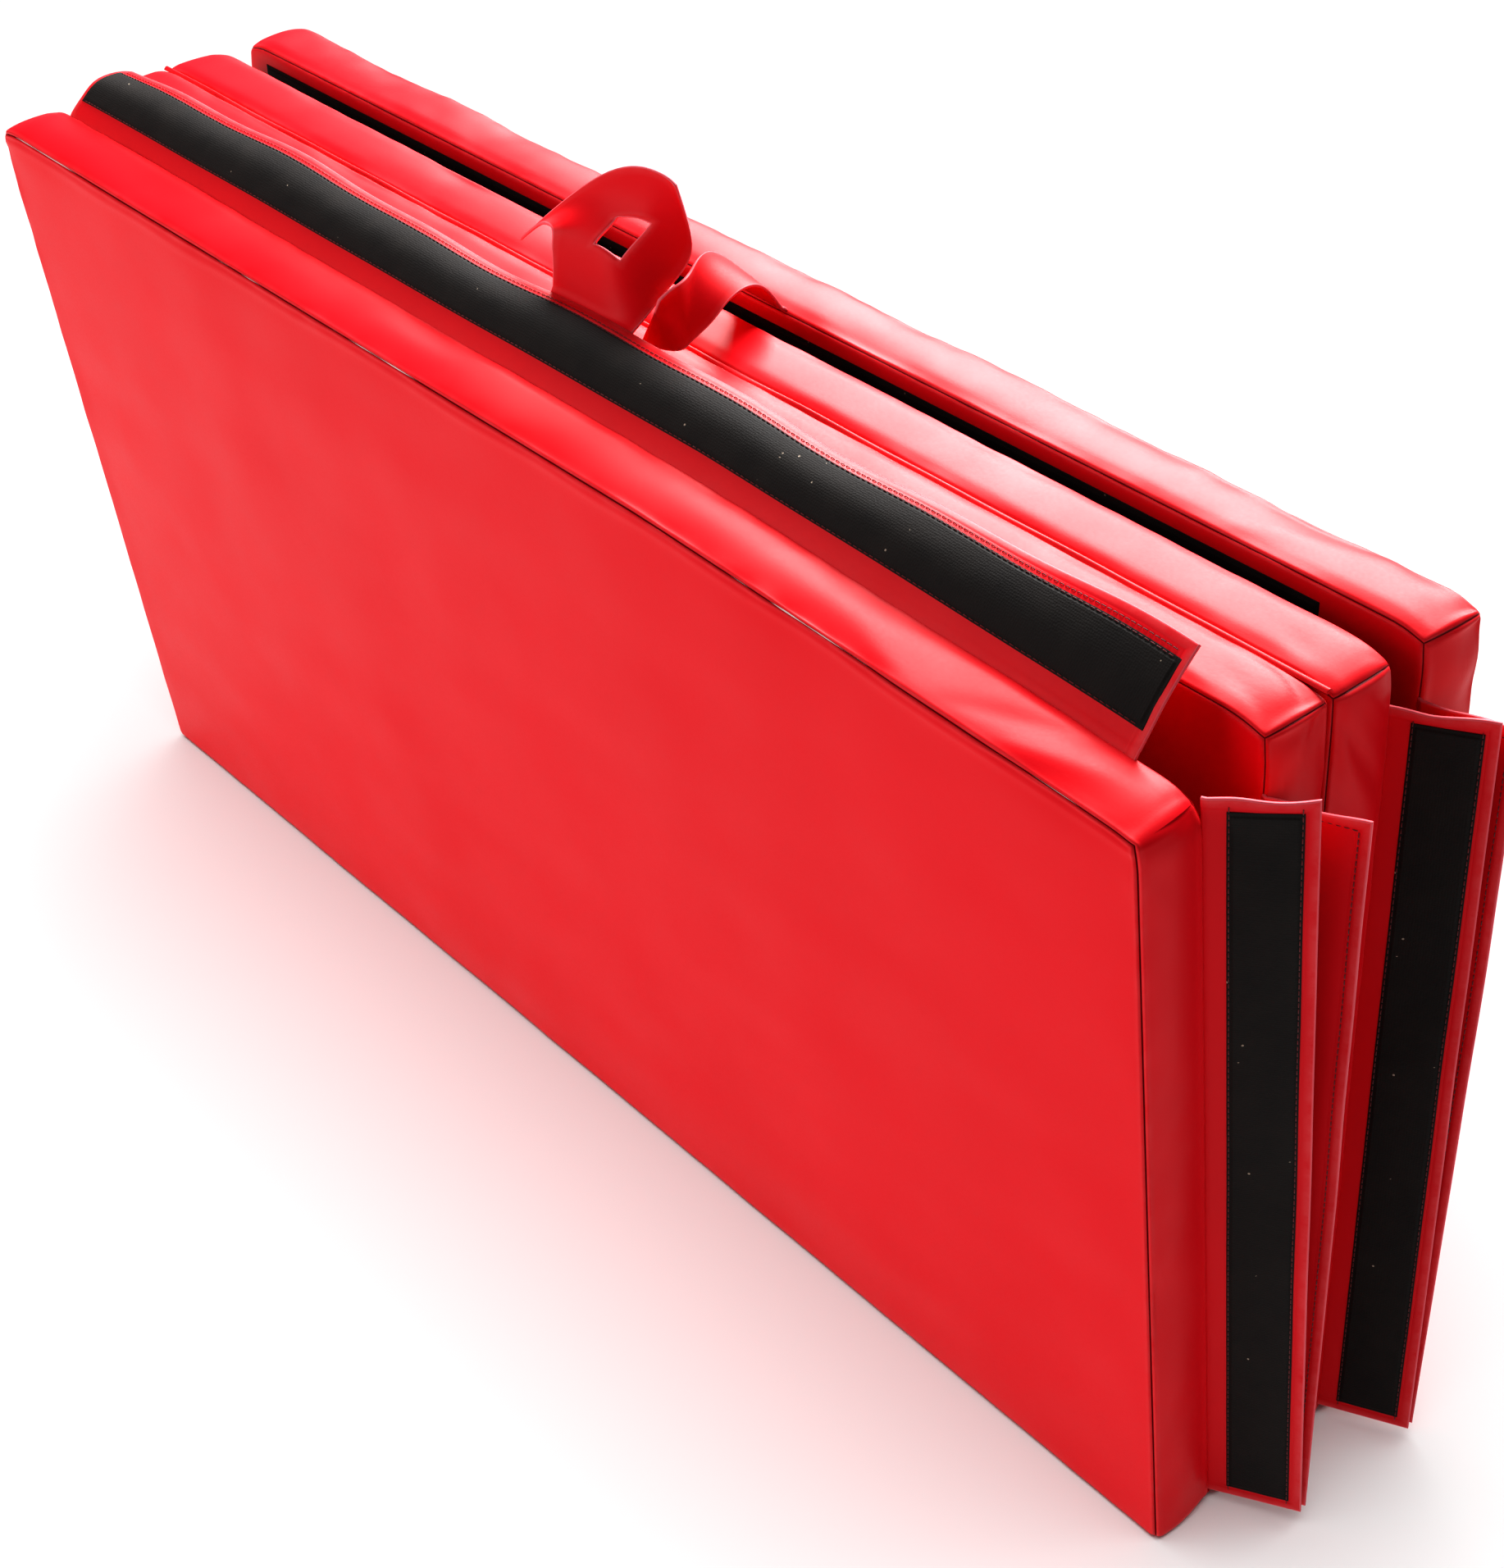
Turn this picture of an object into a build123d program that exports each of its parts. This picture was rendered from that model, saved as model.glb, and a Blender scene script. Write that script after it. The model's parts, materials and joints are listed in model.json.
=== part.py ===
"""Folding gym mat: four foam panels in one vinyl cover, folded like an accordion and
standing on its long edges.

+X runs along the panels, +Y runs from the front panel to the rear panel, +Z is up.
The origin is the bottom centre of the whole part's bounding box. All sizes are in mm.

Every panel has an A side, which is the side that lies on the floor when the mat is open, and a
B side, which is the side people use. Folded, A sides face each other between panels 1 and 2 and
between panels 3 and 4, and B sides face each other between panels 2 and 3.
"""

import os
from math import atan2, cos, hypot, radians, sin

from build123d import *

os.makedirs("parts", exist_ok=True)

# ---- the open mat ----
MAT_LENGTH = 2438.4          # open length, four panels and three fold gaps
PANEL_LENGTH = 1219.2        # along X, the open mat's width
PANEL_THICKNESS = 50.8
PANEL_COUNT = 4
FOLD_GAP = 8.0               # bare vinyl web between two panels, measured on the open mat

# ---- materials ----
VINYL = 0.6                  # one layer of cover vinyl
LOOP_TAPE = 1.0              # thickness of the sewn loop tape
HOOK_TAPE = 1.2              # thickness of the sewn hook tape
TAPE_WIDTH = 40.0

# ---- the folded stack ----
FACE_GAP = 0.6               # each panel face stands this far off its fold line when folded
WEB_END_GAP = 0.3            # a web leaf stops this far short of its fold axis
LEAN_1 = 4.3                 # degrees, panel 1 leans forward from panel 2
LEAN_4 = 2.2                 # degrees, panel 4 leans back from panel 3

# ---- side flaps, one on the right-hand end of every panel ----
FLAP_THICKNESS = 2 * VINYL   # folded double
SIDE_FLAP_WIDTH = 58.0
SIDE_FLAP_TOP_INSETS = (19.0, 42.0, 33.0, 40.0)
SIDE_FLAP_BOTTOM_INSET = 8.0
SIDE_FLAP_SWING = 30.0       # degrees, swung back towards +Y
SIDE_FLAP_AXIS_GAP = 1.0     # the bend line stands this far off the panel's end wall
SIDE_FLAP_START = 0.8        # the flap starts this far from its bend line
SIDE_TAPE_START = 10.0       # bare vinyl between the bend line and the hook tape
SIDE_TAPE_END_INSET = 8.0    # hem above and below the hook tape

# ---- side loop strips, one on the A side of every panel's left-hand end ----
SIDE_LOOP_INSET = 12.0
SIDE_LOOP_BOTTOM_INSET = 40.0
SIDE_LOOP_TOP_INSET = 80.0

# ---- end flap on panel 1's top edge, and the loop strip on panel 4 that it fastens to ----
END_FLAP_LEFT_INSET = 28.0
END_FLAP_RIGHT_INSET = 47.0
END_FLAP_PATH = ((0.0, 0.0), (24.0, 22.0), (54.0, 26.0))   # y and z from its bend line
END_FLAP_START = 1.5
END_TAPE_START = 13.0
END_TAPE_SIDE_INSET = 4.0
END_LOOP_TOP_INSET = 12.0
END_LOOP_LEFT_INSET = 30.0
END_LOOP_RIGHT_INSET = 75.0

# ---- the two carrying straps ----
SLOTTED_WIDTH = 85.0
SLOTTED_X = 20.0             # centre of the slotted strap, from the panels' centre
SLOTTED_THICKNESS = 2.0
SLOTTED_LENGTH = 101.0       # standing part, from the end flap's hem to its top edge
SLOTTED_ANGLE = 62.0         # degrees above the horizontal, leaning back
SLOTTED_START = 3.0          # the standing part starts this far above its bend line
SLOT_WIDTH = 38.0
SLOT_LENGTH = 50.0
SLOT_HEIGHT = 56.0           # slot centre, measured along the strap from its bend line
STRAP_WIDTH = 45.0
STRAP_X = 45.0
STRAP_THICKNESS = 2.5
STRAP_PATH = ((0.0, 0.0), (-25.0, 31.0), (-70.0, 46.0), (-110.0, 14.0))
STRAP_START = 2.0

# ---- derived sizes ----
PANEL_HEIGHT = (MAT_LENGTH - (PANEL_COUNT - 1) * FOLD_GAP) / PANEL_COUNT
WEB = FOLD_GAP / 2
HALF_LENGTH = PANEL_LENGTH / 2
OUTER_FACE = FACE_GAP + PANEL_THICKNESS
FOLD_12_Z = OUTER_FACE * sin(radians(LEAN_1)) - WEB * cos(radians(LEAN_1))
FOLD_23_Y = OUTER_FACE + FACE_GAP
FOLD_23_Z = FOLD_12_Z + PANEL_HEIGHT + FOLD_GAP
FOLD_34_Y = FOLD_23_Y + FACE_GAP + OUTER_FACE

solids = {}


def block(x_range, y_range, z_range):
    """A box between the given limits, whichever way round each pair is given."""
    sizes = [abs(high - low) for low, high in (x_range, y_range, z_range)]
    middles = [(low + high) / 2 for low, high in (x_range, y_range, z_range)]
    return Pos(*middles) * Box(*sizes)


def offset_path(points, distance):
    """The same bent line moved sideways to its left, with mitred corners."""
    moved = []
    for index, (y, z) in enumerate(points):
        before = points[max(index - 1, 0)]
        after = points[min(index + 1, len(points) - 1)]
        arriving = atan2(z - before[1], y - before[0]) if index > 0 else None
        leaving = atan2(after[1] - z, after[0] - y) if index < len(points) - 1 else None
        arriving = leaving if arriving is None else arriving
        leaving = arriving if leaving is None else leaving
        middle = (arriving + leaving) / 2
        reach = distance / cos((leaving - arriving) / 2)
        moved.append((y - reach * sin(middle), z + reach * cos(middle)))
    return moved


def cut_path(points, start, end):
    """The stretch of a bent line between two distances along it."""
    stretch = []
    travelled = 0.0
    for (y0, z0), (y1, z1) in zip(points, points[1:]):
        length = hypot(y1 - y0, z1 - z0)
        low = max(start - travelled, 0.0)
        high = min(end - travelled, length)
        if low < high:
            for distance in (low, high):
                spot = (y0 + (y1 - y0) * distance / length, z0 + (z1 - z0) * distance / length)
                if not stretch or hypot(spot[0] - stretch[-1][0], spot[1] - stretch[-1][1]) > 1e-6:
                    stretch.append(spot)
        travelled += length
    return stretch


def path_length(points):
    return sum(hypot(b[0] - a[0], b[1] - a[1]) for a, b in zip(points, points[1:]))


def bent_sheet(points, inner, outer, x_low, x_high):
    """A sheet that follows a bent line in the YZ plane, between two offsets from that line."""
    outline = offset_path(points, inner) + offset_path(points, outer)[::-1]
    face = make_face(Polyline([(0, y, z) for y, z in outline], close=True))
    return Pos(x_low, 0, 0) * extrude(face, amount=x_high - x_low, dir=(1, 0, 0))


def panel_place(number):
    """Where a panel's fold line stands, which way its thickness runs, and its lean."""
    places = {
        1: (0.0, -1, LEAN_1),
        2: (0.0, 1, 0.0),
        3: (FOLD_34_Y, -1, 0.0),
        4: (FOLD_34_Y, 1, -LEAN_4),
    }
    fold_y, side, lean = places[number]
    return Pos(0, fold_y, FOLD_12_Z) * Rot(lean, 0, 0), side


def slab(side, x_range, depth_range, z_range):
    """A block placed by its depth below the A face, for a panel on either side of its fold."""
    y_range = [side * (FACE_GAP + depth) for depth in depth_range]
    return block(x_range, y_range, z_range)


# ---- panels: foam core, two face sheets, and the wall strip round the edges ----
BOTTOM = WEB
TOP = WEB + PANEL_HEIGHT

for number in range(1, PANEL_COUNT + 1):
    place, side = panel_place(number)
    inner_x = HALF_LENGTH - VINYL
    inner_depths = (VINYL, PANEL_THICKNESS - VINYL)
    full_x = (-HALF_LENGTH, HALF_LENGTH)

    core = slab(side, (-inner_x, inner_x), inner_depths, (BOTTOM + VINYL, TOP - VINYL))
    solids[f"foam_core_{number}"] = place * core
    solids[f"underside_sheet_{number}"] = place * slab(side, full_x, (0, VINYL), (BOTTOM, TOP))
    top_depths = (PANEL_THICKNESS - VINYL, PANEL_THICKNESS)
    solids[f"top_sheet_{number}"] = place * slab(side, full_x, top_depths, (BOTTOM, TOP))

    outer = slab(side, full_x, inner_depths, (BOTTOM, TOP))
    inner = slab(side, (-inner_x, inner_x), (0, PANEL_THICKNESS), (BOTTOM + VINYL, TOP - VINYL))
    solids[f"wall_strip_{number}"] = place * (outer - inner)

# ---- fold webs: each web is cut at its fold line, one leaf for the panel on each side ----
LOW_LEAF = (WEB_END_GAP, BOTTOM)
HIGH_LEAF = (TOP, TOP + WEB - WEB_END_GAP)
LEAVES = (
    ("fold_12_leaf_1", 1, (0, VINYL), LOW_LEAF),
    ("fold_12_leaf_2", 2, (0, VINYL), LOW_LEAF),
    ("fold_23_leaf_2", 2, (PANEL_THICKNESS - VINYL, PANEL_THICKNESS), HIGH_LEAF),
    ("fold_23_leaf_3", 3, (PANEL_THICKNESS - VINYL, PANEL_THICKNESS), HIGH_LEAF),
    ("fold_34_leaf_3", 3, (0, VINYL), LOW_LEAF),
    ("fold_34_leaf_4", 4, (0, VINYL), LOW_LEAF),
)
for name, number, depths, heights in LEAVES:
    place, side = panel_place(number)
    solids[name] = place * slab(side, (-HALF_LENGTH, HALF_LENGTH), depths, heights)

# ---- side flaps with their hook tape, and the loop strips they fasten to ----
for number in range(1, PANEL_COUNT + 1):
    place, side = panel_place(number)
    heights = (BOTTOM + SIDE_FLAP_BOTTOM_INSET, TOP - SIDE_FLAP_TOP_INSETS[number - 1])
    axis_x = HALF_LENGTH + SIDE_FLAP_AXIS_GAP
    axis_y = side * (FACE_GAP + FLAP_THICKNESS / 2)
    swing = place * Pos(axis_x, axis_y, 0) * Rot(0, 0, SIDE_FLAP_SWING)

    back_y = -side * FLAP_THICKNESS / 2
    front_y = side * FLAP_THICKNESS / 2
    flap = block((SIDE_FLAP_START, SIDE_FLAP_WIDTH), (back_y, front_y), heights)
    solids[f"side_flap_{number}"] = swing * flap

    tape_x = (SIDE_TAPE_START, SIDE_TAPE_START + TAPE_WIDTH)
    tape_z = (heights[0] + SIDE_TAPE_END_INSET, heights[1] - SIDE_TAPE_END_INSET)
    hook = block(tape_x, (front_y, front_y + side * HOOK_TAPE), tape_z)
    solids[f"side_hook_{number}"] = swing * hook

    loop_x = (-HALF_LENGTH + SIDE_LOOP_INSET, -HALF_LENGTH + SIDE_LOOP_INSET + TAPE_WIDTH)
    loop_z = (BOTTOM + SIDE_LOOP_BOTTOM_INSET, TOP - SIDE_LOOP_TOP_INSET)
    solids[f"side_loop_{number}"] = place * slab(side, loop_x, (-LOOP_TAPE, 0), loop_z)

# ---- end flap with its hook tape, bent back over the gap behind panel 1 ----
place_1, side_1 = panel_place(1)
flap_bend = (place_1 * Pos(0, side_1 * (FACE_GAP + FLAP_THICKNESS / 2), TOP + FLAP_THICKNESS)).position
flap_place = Pos(0, flap_bend.Y, flap_bend.Z)
flap_x = (-HALF_LENGTH + END_FLAP_LEFT_INSET, HALF_LENGTH - END_FLAP_RIGHT_INSET)

flap_line = cut_path(END_FLAP_PATH, END_FLAP_START, path_length(END_FLAP_PATH))
solids["end_flap"] = flap_place * bent_sheet(flap_line, 0, FLAP_THICKNESS, *flap_x)

tape_line = cut_path(END_FLAP_PATH, END_TAPE_START, END_TAPE_START + TAPE_WIDTH)
tape_x = (flap_x[0] + END_TAPE_SIDE_INSET, flap_x[1] - END_TAPE_SIDE_INSET)
tape = bent_sheet(tape_line, FLAP_THICKNESS, FLAP_THICKNESS + HOOK_TAPE, *tape_x)
solids["end_hook"] = flap_place * tape

# ---- loop strip along the top of panel 4's A side ----
place_4, side_4 = panel_place(4)
loop_x = (-HALF_LENGTH + END_LOOP_LEFT_INSET, HALF_LENGTH - END_LOOP_RIGHT_INSET)
loop_z = (TOP - END_LOOP_TOP_INSET - TAPE_WIDTH, TOP - END_LOOP_TOP_INSET)
solids["end_loop"] = place_4 * slab(side_4, loop_x, (-LOOP_TAPE, 0), loop_z)

# ---- slotted strap: its root is sewn under the end flap, and the rest stands up behind the hem ----
slotted_x = (SLOTTED_X - SLOTTED_WIDTH / 2, SLOTTED_X + SLOTTED_WIDTH / 2)
root = bent_sheet(flap_line, -SLOTTED_THICKNESS, 0, *slotted_x)
solids["slotted_strap_root"] = flap_place * root

hem_y, hem_z = END_FLAP_PATH[-1]
slotted_place = flap_place * Pos(0, hem_y + SLOTTED_THICKNESS, hem_z) * Rot(SLOTTED_ANGLE - 90, 0, 0)
thickness_range = (-SLOTTED_THICKNESS / 2, SLOTTED_THICKNESS / 2)
standing = block(slotted_x, thickness_range, (SLOTTED_START, SLOTTED_LENGTH))
slot_x = (SLOTTED_X - SLOT_WIDTH / 2, SLOTTED_X + SLOT_WIDTH / 2)
slot_z = (SLOT_HEIGHT - SLOT_LENGTH / 2, SLOT_HEIGHT + SLOT_LENGTH / 2)
slot = block(slot_x, (-SLOTTED_THICKNESS, SLOTTED_THICKNESS), slot_z)
solids["slotted_strap"] = slotted_place * (standing - slot)

# ---- plain strap: sewn to panel 4's top front edge and arched forward over panels 3 and 2 ----
strap_bend = (place_4 * Pos(0, side_4 * FACE_GAP, TOP + STRAP_THICKNESS)).position
strap_line = cut_path(STRAP_PATH, STRAP_START, path_length(STRAP_PATH))
strap_x = (STRAP_X - STRAP_WIDTH / 2, STRAP_X + STRAP_WIDTH / 2)
strap = bent_sheet(strap_line, 0, STRAP_THICKNESS, *strap_x)
solids["plain_strap"] = Pos(0, strap_bend.Y, strap_bend.Z) * strap

# ---- put the origin at the bottom centre of the bounding box ----
bounds = [solid.bounding_box() for solid in solids.values()]
low = [min(getattr(box.min, axis) for box in bounds) for axis in "XYZ"]
high = [max(getattr(box.max, axis) for box in bounds) for axis in "XYZ"]
to_origin = Pos(-(low[0] + high[0]) / 2, -(low[1] + high[1]) / 2, -low[2])

for name, solid in solids.items():
    export_step(to_origin * solid, f"parts/{name}.step")
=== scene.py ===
"""Folding gym mat: the looks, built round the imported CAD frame. Metres, in the row frame."""
import json
from math import cos, pi, radians, sin

import bmesh
import bpy
import numpy as np
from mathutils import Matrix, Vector


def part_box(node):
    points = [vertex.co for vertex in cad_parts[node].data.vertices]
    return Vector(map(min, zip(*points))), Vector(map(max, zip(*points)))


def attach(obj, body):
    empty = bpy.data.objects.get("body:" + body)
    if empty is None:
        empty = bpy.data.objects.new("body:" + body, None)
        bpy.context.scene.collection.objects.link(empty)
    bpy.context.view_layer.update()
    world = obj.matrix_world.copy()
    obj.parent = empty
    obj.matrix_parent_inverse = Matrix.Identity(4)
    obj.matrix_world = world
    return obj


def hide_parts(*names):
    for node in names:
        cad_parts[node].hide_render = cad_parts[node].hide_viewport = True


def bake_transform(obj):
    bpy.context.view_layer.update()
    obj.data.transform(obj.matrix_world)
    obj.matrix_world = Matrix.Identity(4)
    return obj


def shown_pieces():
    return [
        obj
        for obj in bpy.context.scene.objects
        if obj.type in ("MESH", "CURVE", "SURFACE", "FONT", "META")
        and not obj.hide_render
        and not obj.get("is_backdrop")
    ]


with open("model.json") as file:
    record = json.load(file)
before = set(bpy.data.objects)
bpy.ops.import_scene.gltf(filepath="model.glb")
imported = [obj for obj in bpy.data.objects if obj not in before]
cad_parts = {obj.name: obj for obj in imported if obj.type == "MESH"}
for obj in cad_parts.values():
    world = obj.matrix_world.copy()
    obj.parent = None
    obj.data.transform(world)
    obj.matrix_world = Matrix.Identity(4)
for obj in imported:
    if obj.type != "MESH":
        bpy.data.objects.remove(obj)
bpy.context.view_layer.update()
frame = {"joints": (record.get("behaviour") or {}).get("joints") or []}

# ---- panel covers: top sheet, underside sheet and wall band of every panel ----
# PVC-coated polyester, sewn inside out and turned, so that every panel edge is a puffy seam.
# The foam block inside pushes the cloth out a little; faces that touch a neighbour stay flat.

joints = {joint["name"]: joint for joint in frame["joints"]}
low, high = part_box("top_sheet_2")
PANEL_LENGTH = high.x - low.x
PANEL_HEIGHT = high.z - low.z
PANEL_MIDDLE_X = (low.x + high.x) / 2
PANEL_THICKNESS = high.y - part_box("underside_sheet_2")[0].y
FACE_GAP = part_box("underside_sheet_2")[0].y - joints["fold_12"]["pos_m"][1]
WEB = low.z - joints["fold_12"]["pos_m"][2]
EDGE_RADIUS = 0.0058
SEAM_STEPS = np.array([0, 0.7, 1.4, 2.1, 2.9, 3.8, 5.0, 6.6, 8.6, 11.0, 14.0, 18.0]) / 1000

# fold joint, side of the fold that the panel is on, and lean of each panel
PANELS = {
    1: ("fold_12", -1, 180 - joints["fold_12"]["range_deg"][1]),
    2: ("fold_12", 1, 0.0),
    3: ("fold_34", -1, 0.0),
    4: ("fold_34", 1, joints["fold_34"]["range_deg"][1] - 180),
}
# how far the foam's top corners are squashed down, over what length, and how suddenly, at the right
# end and at the left end
CORNER_DROP = {
    1: ((0.0190, 0.42, 1.15), (0.0030, 0.030, 2)),
    2: ((0.0045, 0.035, 2), (0.0025, 0.030, 2)),
    3: ((0.0050, 0.032, 2), (0.0025, 0.030, 2)),
    4: ((0.0035, 0.026, 2), (0.0030, 0.026, 2)),
}
# how far the edge between the top and each end is rounded off: right end, left end
ROUND_OFF = {1: (0.0056, 0.0022), 2: (0.0016, 0.0016), 3: (0.0018, 0.0016), 4: (0.0016, 0.0022)}
ROUND_REACH = 0.015
DROP_DEPTH = 0.11            # how far down the panel a sunken corner is felt
# faces that lie against another panel when the mat is folded
TOUCHING = {1: ("A",), 2: ("A", "B"), 3: ("A", "B"), 4: ("A",)}
# creases in mm: start and end as (from the right end, depth from the A side, below the top), then
# width and height
CREASES = {
    1: [((150, 40, 0), (60, 8, 0), 7, -1.5), ((112, 46, 0), (30, 20, 2), 6, 1.5),
        ((88, 50, 2), (6, 34, 10), 5, -1.2), ((240, 30, 0), (170, 48, 0), 8, 0.9),
        ((40, 12, 2), (4, 30, 16), 6, -1.6), ((0, 42, 24), (0, 22, 70), 6, -1.0)],
    2: [((60, 30, 0), (14, 10, 0), 4, -1.8), ((46, 44, 0), (8, 24, 0), 4, 1.7),
        ((30, 48, 0), (4, 34, 2), 3, -1.7), ((78, 14, 0), (40, 4, 0), 5, 1.3),
        ((0, 44, 6), (0, 12, 40), 4, -2.2), ((0, 30, 10), (0, 8, 70), 5, 1.8),
        ((0, 46, 60), (0, 20, 130), 6, -1.8)],
    3: [((70, 20, 0), (20, 40, 0), 6, -1.7), ((44, 6, 0), (10, 26, 0), 5, 1.5),
        ((0, 46, 16), (0, 8, 84), 4, -3.0), ((0, 46, 40), (0, 6, 112), 5, 2.8),
        ((0, 44, 66), (0, 4, 140), 4, -3.0), ((0, 26, 6), (0, 6, 40), 4, 2.0),
        ((0, 46, 110), (0, 10, 180), 5, -2.4)],
    4: [((34, 30, 0), (6, 12, 2), 5, -1.2), ((0, 40, 10), (0, 12, 60), 6, -1.2),
        ((160, 10, 0), (90, 34, 0), 9, 0.8)],
}
RIPPLE_SEEDS = {1: 3, 2: 11, 3: 23, 4: 37}


def to_panel_frame(points, number):
    """Row-frame points from a panel's own x (from its middle), depth from its A side, and height."""
    fold, side, lean = PANELS[number]
    _, fold_y, fold_z = joints[fold]["pos_m"]
    across = side * (FACE_GAP + points[..., 1])
    up = WEB + points[..., 2]
    c, s = cos(radians(lean)), sin(radians(lean))
    return np.stack([PANEL_MIDDLE_X + points[..., 0],
                     fold_y + across * c - up * s,
                     fold_z + across * s + up * c], -1)


def grid_lines(length, step, dense=12):
    """Distances from 0 to length, close together near both ends, where the seams are."""
    near = SEAM_STEPS[:dense]
    count = max(2, round((length - 2 * near[-1]) / step) + 1)
    return np.concatenate([near[:-1], np.linspace(near[-1], length - near[-1], count),
                           (length - near)[::-1][1:]])


def new_mesh(name, points, faces, uv=None, smooth=True, **values):
    """A mesh object from points, quads, a flat cloth layout in metres, and named point values."""
    mesh = bpy.data.meshes.new(name)
    mesh.from_pydata(points.tolist(), [], faces.tolist() if hasattr(faces, "tolist") else faces)
    mesh.polygons.foreach_set("use_smooth", [smooth] * len(mesh.polygons))
    if uv is not None:
        layer = mesh.uv_layers.new(name="UVMap")
        corner = np.zeros(len(mesh.loops), np.int32)
        mesh.loops.foreach_get("vertex_index", corner)
        layer.data.foreach_set("uv", uv[corner].astype(np.float32).ravel())
    for key, value in values.items():
        layer = mesh.attributes.new(key, "FLOAT", "POINT")
        layer.data.foreach_set("value", value.astype(np.float32))
    mesh.update()
    obj = bpy.data.objects.new(name, mesh)
    bpy.context.scene.collection.objects.link(obj)
    return obj


def grid_quads(rows, columns, start=0, turned=False):
    """Quads of a rows by columns grid of points."""
    first = start + np.arange(rows * columns).reshape(rows, columns)
    quads = np.stack([first[:-1, :-1], first[1:, :-1], first[1:, 1:], first[:-1, 1:]], -1)
    return (quads[..., ::-1] if turned else quads).reshape(-1, 4)


def weld_corners(obj):
    """Joins the points that neighbouring sides of a box share."""
    mesh = bmesh.new()
    mesh.from_mesh(obj.data)
    bmesh.ops.remove_doubles(mesh, verts=mesh.verts, dist=0.00002)
    mesh.to_mesh(obj.data)
    mesh.free()


def waves(points, seed, count, shortest, longest):
    """A smooth irregular height, about -1 to 1, from a sum of waves in many directions."""
    rng = np.random.default_rng(seed)
    total = np.zeros(points.shape[:-1])
    for _ in range(count):
        direction = rng.normal(size=3)
        direction /= np.linalg.norm(direction)
        length = shortest * (longest / shortest) ** rng.random()
        total += np.sin(2 * pi * (points @ direction) / length + rng.random() * 2 * pi)
    return total / (count ** 0.5)


def along_crease(points, start, end, width):
    """1 along a line, fading to 0 away from it and towards its ends."""
    line = end - start
    t = np.clip((points - start) @ line / (line @ line), 0, 1)
    distance = np.linalg.norm(points - start - t[..., None] * line, axis=-1)
    return np.exp(-(distance / width) ** 2) * np.sin(pi * (0.08 + 0.84 * t))


def drop_corners(points, number):
    """The soft top corners sink a little towards both ends, and their edges round off."""
    for end, pull in zip((1, -1), ROUND_OFF[number]):
        along, up = PANEL_LENGTH / 2 - end * points[..., 0], PANEL_HEIGHT - points[..., 2]
        pull = pull * np.exp(-(along ** 2 + up ** 2) / ROUND_REACH ** 2)
        pull = pull * (1.15 - 0.85 * points[..., 1] / PANEL_THICKNESS)
        points[..., 0] -= end * pull
        points[..., 2] -= pull
    for end, (drop, reach, power) in zip((1, -1), CORNER_DROP[number]):
        near_end = np.clip(1 - (PANEL_LENGTH / 2 - end * points[..., 0]) / reach, 0, 1)
        near_top = np.clip(1 - (PANEL_HEIGHT - points[..., 2]) / DROP_DEPTH, 0, 1)
        points[..., 2] -= drop * near_end ** power * near_top ** 1.5
    return points


def box_side(normal, a, b, inset=0.0):
    """Rounded-box points and normals over one side, from two sets of distances along it."""
    half = np.array([PANEL_LENGTH, PANEL_THICKNESS, PANEL_HEIGHT]) / 2 - inset
    axis = int(np.argmax(np.abs(normal)))
    others = [k for k in range(3) if k != axis]
    flat = np.zeros((len(a), len(b), 3))
    flat[..., others[0]] = a[:, None] - half[others[0]]
    flat[..., others[1]] = b[None, :] - half[others[1]]
    flat[..., axis] = normal[axis] * half[axis]
    heart = np.clip(flat, -(half - EDGE_RADIUS), half - EDGE_RADIUS)
    out = flat - heart
    out /= np.linalg.norm(out, axis=-1, keepdims=True)
    points = heart + EDGE_RADIUS * out
    points[..., 1] += PANEL_THICKNESS / 2
    points[..., 2] += PANEL_HEIGHT / 2
    return points, out


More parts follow.
